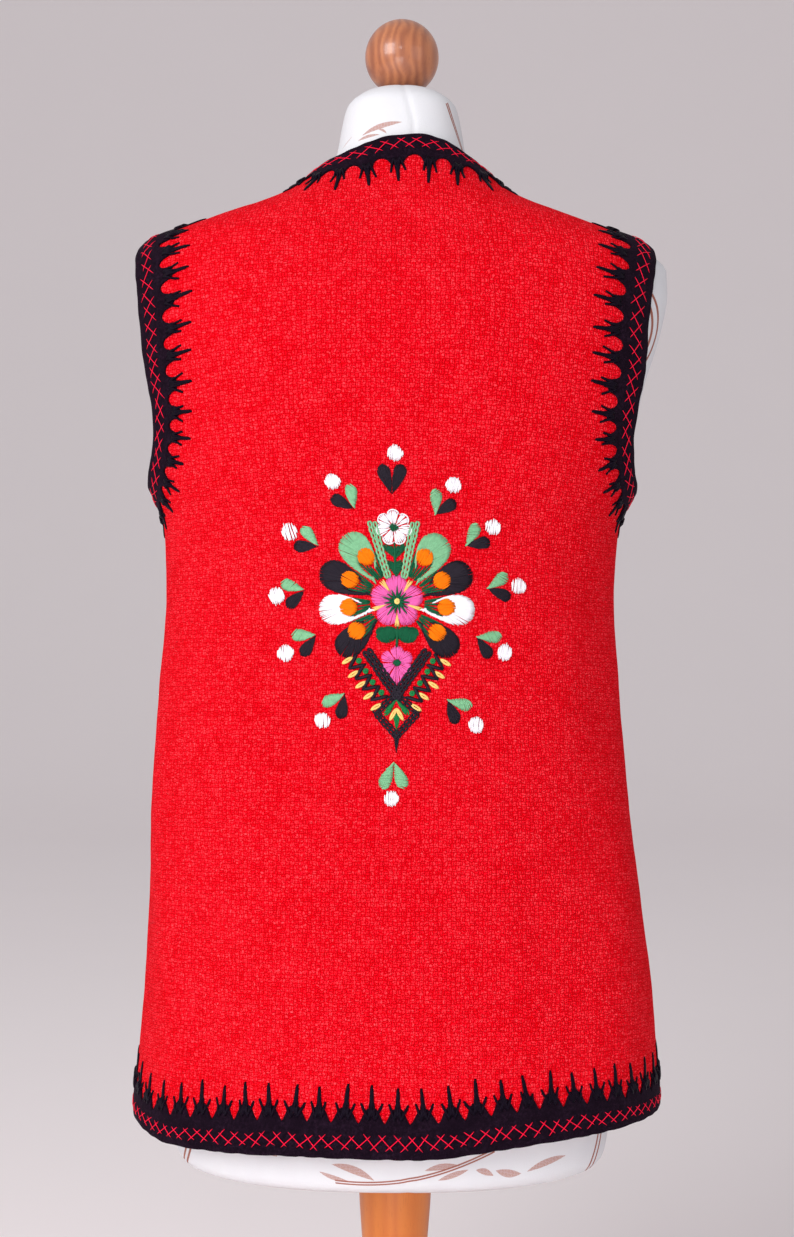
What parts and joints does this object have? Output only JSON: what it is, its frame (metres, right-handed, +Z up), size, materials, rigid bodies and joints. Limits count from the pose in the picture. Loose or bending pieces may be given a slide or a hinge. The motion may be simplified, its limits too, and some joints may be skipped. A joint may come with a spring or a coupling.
{
  "type": "embroidered folk vest on a dress form",
  "caption": "Sleeveless wool folk vest with toothed felt borders and back embroidery, worn by a limbless dress form with ball finial, turned pole and round base.",
  "frame": {"origin": "centre of the underside of the base, which is the bottom centre of the whole part", "axes": "+Z up; the wearer faces +Y, so the embroidered back faces -Y; +X is the wearer's right"},
  "size_m": [0.412, 0.34, 1.1316],
  "materials": {
    "red_wool": "soft basket-weave wool",
    "black_felt": "matt felt",
    "white_cover": "smooth printed cotton cover",
    "finial_wood": "glossy lacquer",
    "stand_wood": "satin lacquer"
  },
  "bodies": {
    "root": {"vest_back": "red_wool", "vest_front_left": "red_wool", "vest_front_right": "red_wool", "trim_neck_back": "black_felt", "trim_armhole_back_right": "black_felt", "trim_armhole_back_left": "black_felt", "trim_hem_back": "black_felt", "trim_edge_front_left": "black_felt", "trim_edge_front_right": "black_felt", "trim_armhole_front_left": "black_felt", "trim_armhole_front_right": "black_felt", "trim_hem_front_left": "black_felt", "trim_hem_front_right": "black_felt", "form_torso": "white_cover", "form_finial": "finial_wood", "form_pole": "stand_wood", "form_base": "stand_wood"}
  },
  "joints": []
}
